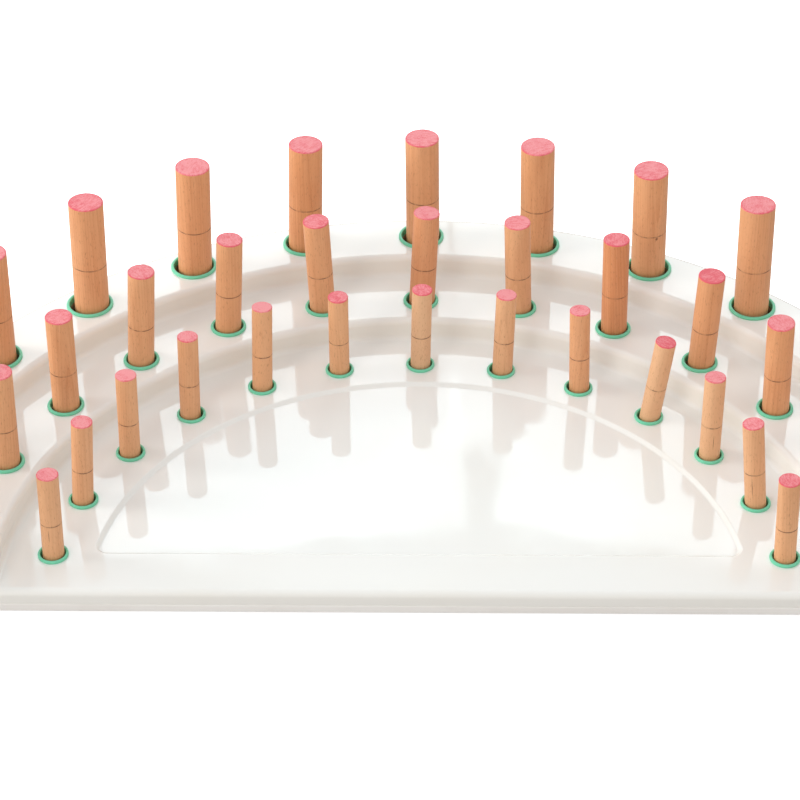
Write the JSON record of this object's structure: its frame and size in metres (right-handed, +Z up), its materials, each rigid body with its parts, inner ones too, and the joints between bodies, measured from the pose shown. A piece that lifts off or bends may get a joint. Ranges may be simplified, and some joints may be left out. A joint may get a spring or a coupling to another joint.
{
  "type": "peg board",
  "caption": "Semicircular stepped peg board with loose wooden pegs in soft-lined holes and a shallow recess in the middle.",
  "frame": {"origin": "on the table, under the middle of the bounding box", "axes": "+X to the right along the straight front edge, +Y towards the rounded back, +Z up"},
  "size_m": [0.892, 0.456, 0.1604],
  "materials": {
    "tray": "glossy warm white moulded plastic with a soft orange-peel",
    "base": "satin off-white painted board edge",
    "core": "plain plywood, hidden",
    "grommet": "satin mint-green soft grommet",
    "peg": "sanded beech, unvarnished, with a scored line",
    "peg_top": "thin matt pink paint on end grain",
    "foot": "matt black rubber",
    "screw": "zinc-plated countersunk screw"
  },
  "bodies": {
    "board": {"tray_shell": "tray", "base_board": "base", "lower_core": "core", "middle_core": "core", "outer_core": "core", "front_rail": "core", "small_grommets": "grommet", "medium_grommets": "grommet", "large_grommets": "grommet", "foot_1": "foot", "foot_2": "foot", "foot_3": "foot", "foot_4": "foot", "foot_5": "foot", "foot_6": "foot", "base_screw_1": "screw", "base_screw_2": "screw", "base_screw_3": "screw", "base_screw_4": "screw", "base_screw_5": "screw", "base_screw_6": "screw"},
    "small_peg_01": {"small_peg_01": "peg"},
    "small_peg_02": {"small_peg_02": "peg"},
    "small_peg_03": {"small_peg_03": "peg"},
    "small_peg_04": {"small_peg_04": "peg"},
    "small_peg_05": {"small_peg_05": "peg"},
    "small_peg_06": {"small_peg_06": "peg"},
    "small_peg_07": {"small_peg_07": "peg"},
    "small_peg_08": {"small_peg_08": "peg"},
    "small_peg_09": {"small_peg_09": "peg"},
    "small_peg_10": {"small_peg_10": "peg"},
    "small_peg_11": {"small_peg_11": "peg"},
    "small_peg_12": {"small_peg_12": "peg"},
    "small_peg_13": {"small_peg_13": "peg"},
    "medium_peg_01": {"medium_peg_01": "peg"},
    "medium_peg_02": {"medium_peg_02": "peg"},
    "medium_peg_03": {"medium_peg_03": "peg"},
    "medium_peg_04": {"medium_peg_04": "peg"},
    "medium_peg_05": {"medium_peg_05": "peg"},
    "medium_peg_06": {"medium_peg_06": "peg"},
    "medium_peg_07": {"medium_peg_07": "peg"},
    "medium_peg_08": {"medium_peg_08": "peg"},
    "medium_peg_09": {"medium_peg_09": "peg"},
    "medium_peg_10": {"medium_peg_10": "peg"},
    "medium_peg_11": {"medium_peg_11": "peg"},
    "medium_peg_12": {"medium_peg_12": "peg"},
    "medium_peg_13": {"medium_peg_13": "peg"},
    "large_peg_01": {"large_peg_01": "peg"},
    "large_peg_02": {"large_peg_02": "peg"},
    "large_peg_03": {"large_peg_03": "peg"},
    "large_peg_04": {"large_peg_04": "peg"},
    "large_peg_05": {"large_peg_05": "peg"},
    "large_peg_06": {"large_peg_06": "peg"},
    "large_peg_07": {"large_peg_07": "peg"},
    "large_peg_08": {"large_peg_08": "peg"},
    "large_peg_09": {"large_peg_09": "peg"},
    "large_peg_10": {"large_peg_10": "peg"},
    "large_peg_11": {"large_peg_11": "peg"},
    "large_peg_12": {"large_peg_12": "peg"},
    "large_peg_13": {"large_peg_13": "peg"}
  },
  "joints": [
    {"name": "small_peg_01_lift", "type": "slide", "parent": "board", "child": "small_peg_01", "axis": [0.0175, 0.0175, 0.9997], "range_m": [0, 0.05]},
    {"name": "small_peg_02_lift", "type": "slide", "parent": "board", "child": "small_peg_02", "axis": [0.061, 0, 0.9981], "range_m": [0, 0.05]},
    {"name": "small_peg_03_lift", "type": "slide", "parent": "board", "child": "small_peg_03", "axis": [0.0175, 0.0087, 0.9998], "range_m": [0, 0.05]},
    {"name": "small_peg_04_lift", "type": "slide", "parent": "board", "child": "small_peg_04", "axis": [0.0174, 0.0262, 0.9995], "range_m": [0, 0.05]},
    {"name": "small_peg_05_lift", "type": "slide", "parent": "board", "child": "small_peg_05", "axis": [0.0261, 0.061, 0.9978], "range_m": [0, 0.05]},
    {"name": "small_peg_06_lift", "type": "slide", "parent": "board", "child": "small_peg_06", "axis": [0, -0.0523, 0.9986], "range_m": [0, 0.05]},
    {"name": "small_peg_07_lift", "type": "slide", "parent": "board", "child": "small_peg_07", "axis": [0.0175, -0.0175, 0.9997], "range_m": [0, 0.05]},
    {"name": "small_peg_08_lift", "type": "slide", "parent": "board", "child": "small_peg_08", "axis": [0.0262, 0, 0.9997], "range_m": [0, 0.05]},
    {"name": "small_peg_09_lift", "type": "slide", "parent": "board", "child": "small_peg_09", "axis": [-0.0262, 0.0262, 0.9993], "range_m": [0, 0.05]},
    {"name": "small_peg_10_lift", "type": "slide", "parent": "board", "child": "small_peg_10", "axis": [0.1131, -0.0347, 0.993], "range_m": [0, 0.05]},
    {"name": "small_peg_11_lift", "type": "slide", "parent": "board", "child": "small_peg_11", "axis": [0, 0.0175, 0.9998], "range_m": [0, 0.05]},
    {"name": "small_peg_12_lift", "type": "slide", "parent": "board", "child": "small_peg_12", "axis": [-0.0958, 0.0174, 0.9952], "range_m": [0, 0.05]},
    {"name": "small_peg_13_lift", "type": "slide", "parent": "board", "child": "small_peg_13", "axis": [-0.0349, -0.0174, 0.9992], "range_m": [0, 0.05]},
    {"name": "medium_peg_01_lift", "type": "slide", "parent": "board", "child": "medium_peg_01", "axis": [0, 0, 1], "range_m": [0, 0.055]},
    {"name": "medium_peg_02_lift", "type": "slide", "parent": "board", "child": "medium_peg_02", "axis": [0.0175, 0, 0.9998], "range_m": [0, 0.055]},
    {"name": "medium_peg_03_lift", "type": "slide", "parent": "board", "child": "medium_peg_03", "axis": [0.0087, 0, 1], "range_m": [0, 0.055]},
    {"name": "medium_peg_04_lift", "type": "slide", "parent": "board", "child": "medium_peg_04", "axis": [0.061, 0, 0.9981], "range_m": [0, 0.055]},
    {"name": "medium_peg_05_lift", "type": "slide", "parent": "board", "child": "medium_peg_05", "axis": [0.0523, 0, 0.9986], "range_m": [0, 0.055]},
    {"name": "medium_peg_06_lift", "type": "slide", "parent": "board", "child": "medium_peg_06", "axis": [-0.0436, -0.0174, 0.9989], "range_m": [0, 0.055]},
    {"name": "medium_peg_07_lift", "type": "slide", "parent": "board", "child": "medium_peg_07", "axis": [0.0436, 0.0174, 0.9989], "range_m": [0, 0.055]},
    {"name": "medium_peg_08_lift", "type": "slide", "parent": "board", "child": "medium_peg_08", "axis": [-0.0349, -0.0262, 0.999], "range_m": [0, 0.055]},
    {"name": "medium_peg_09_lift", "type": "slide", "parent": "board", "child": "medium_peg_09", "axis": [-0.0174, 0.0262, 0.9995], "range_m": [0, 0.055]},
    {"name": "medium_peg_10_lift", "type": "slide", "parent": "board", "child": "medium_peg_10", "axis": [0.0349, -0.0262, 0.999], "range_m": [0, 0.055]},
    {"name": "medium_peg_11_lift", "type": "slide", "parent": "board", "child": "medium_peg_11", "axis": [-0.0349, -0.0523, 0.998], "range_m": [0, 0.055]},
    {"name": "medium_peg_12_lift", "type": "slide", "parent": "board", "child": "medium_peg_12", "axis": [-0.0175, 0.0175, 0.9997], "range_m": [0, 0.055]},
    {"name": "medium_peg_13_lift", "type": "slide", "parent": "board", "child": "medium_peg_13", "axis": [0, 0, 1], "range_m": [0, 0.055]},
    {"name": "large_peg_01_lift", "type": "slide", "parent": "board", "child": "large_peg_01", "axis": [0, 0, 1], "range_m": [0, 0.06]},
    {"name": "large_peg_02_lift", "type": "slide", "parent": "board", "child": "large_peg_02", "axis": [0.0175, -0.0175, 0.9997], "range_m": [0, 0.06]},
    {"name": "large_peg_03_lift", "type": "slide", "parent": "board", "child": "large_peg_03", "axis": [0.0087, 0.0175, 0.9998], "range_m": [0, 0.06]},
    {"name": "large_peg_04_lift", "type": "slide", "parent": "board", "child": "large_peg_04", "axis": [0.0175, 0.0175, 0.9997], "range_m": [0, 0.06]},
    {"name": "large_peg_05_lift", "type": "slide", "parent": "board", "child": "large_peg_05", "axis": [0.0262, 0, 0.9997], "range_m": [0, 0.06]},
    {"name": "large_peg_06_lift", "type": "slide", "parent": "board", "child": "large_peg_06", "axis": [0.0262, 0, 0.9997], "range_m": [0, 0.06]},
    {"name": "large_peg_07_lift", "type": "slide", "parent": "board", "child": "large_peg_07", "axis": [-0.0087, -0.0087, 0.9999], "range_m": [0, 0.06]},
    {"name": "large_peg_08_lift", "type": "slide", "parent": "board", "child": "large_peg_08", "axis": [-0.0175, -0.0175, 0.9997], "range_m": [0, 0.06]},
    {"name": "large_peg_09_lift", "type": "slide", "parent": "board", "child": "large_peg_09", "axis": [-0.0262, -0.0349, 0.999], "range_m": [0, 0.06]},
    {"name": "large_peg_10_lift", "type": "slide", "parent": "board", "child": "large_peg_10", "axis": [-0.0175, 0.0175, 0.9997], "range_m": [0, 0.06]},
    {"name": "large_peg_11_lift", "type": "slide", "parent": "board", "child": "large_peg_11", "axis": [0, 0, 1], "range_m": [0, 0.06]},
    {"name": "large_peg_12_lift", "type": "slide", "parent": "board", "child": "large_peg_12", "axis": [0, -0.0175, 0.9998], "range_m": [0, 0.06]},
    {"name": "large_peg_13_lift", "type": "slide", "parent": "board", "child": "large_peg_13", "axis": [0, 0, 1], "range_m": [0, 0.06]}
  ]
}
